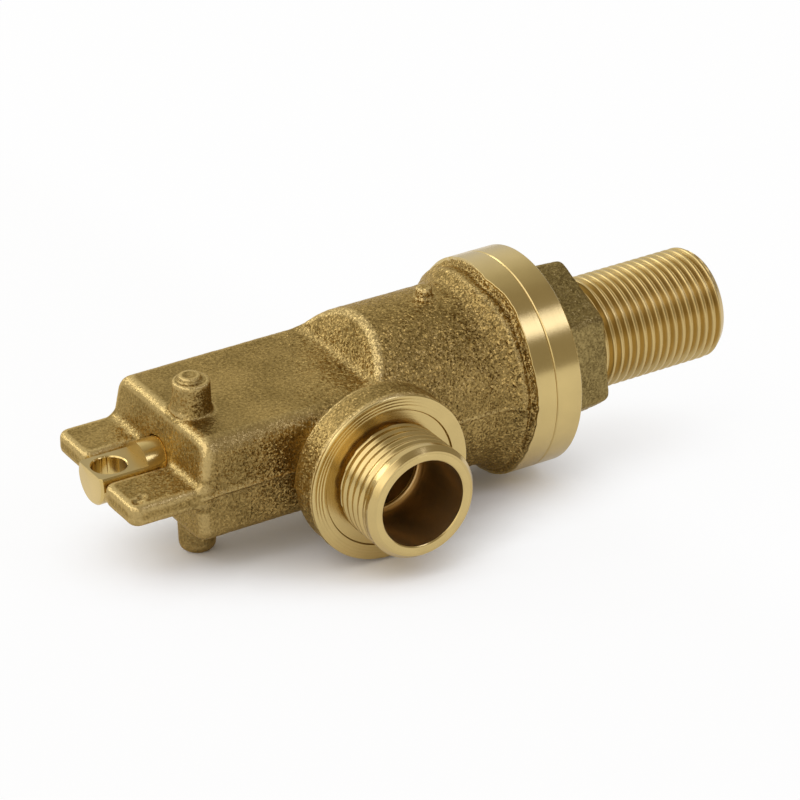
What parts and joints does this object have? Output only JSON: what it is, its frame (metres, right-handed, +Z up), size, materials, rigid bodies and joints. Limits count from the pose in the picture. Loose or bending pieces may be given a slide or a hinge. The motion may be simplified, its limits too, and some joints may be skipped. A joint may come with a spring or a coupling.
{
  "type": "lever valve",
  "caption": "Cast brass shut-off valve body with a threaded inlet in line, a threaded side outlet and a sprung stem that a lever pulls by its eye.",
  "frame": {"origin": "centre of the bottom of the bounding box, level with the lowest point of the round flanges", "axes": "+X along the main axis towards the inlet nipple, -Y along the outlet, +Z up, at right angles to the ears"},
  "size_m": [0.1002, 0.0458, 0.032],
  "materials": {
    "cast_brass": "rough sand cast",
    "turned_brass": "turned, bright",
    "stainless_steel": "drawn, satin",
    "black_rubber": "matte",
    "white_plastic": "satin",
    "gasket_fibre": "matte"
  },
  "bodies": {
    "housing": {"valve_body": "cast_brass", "inlet_cover": "turned_brass", "cover_gasket": "gasket_fibre", "backing_washer": "white_plastic", "stem_o_ring_outer": "black_rubber", "o_ring_spacer": "turned_brass", "stem_o_ring_inner": "black_rubber", "gland_bush": "white_plastic", "retaining_ring": "stainless_steel", "spring_washer": "stainless_steel", "return_spring": "stainless_steel"},
    "valve_rod": {"stem": "turned_brass", "valve_disc": "turned_brass", "seat_washer": "black_rubber", "washer_plate": "stainless_steel", "seat_nut": "stainless_steel"}
  },
  "joints": [
    {"name": "stem_pull", "type": "slide", "parent": "housing", "child": "valve_rod", "axis": [-1, 0, 0], "range_m": [0, 0.004], "stiffness_N_per_m": 1500, "springref_m": -0.004, "deforming": ["return_spring"]}
  ]
}
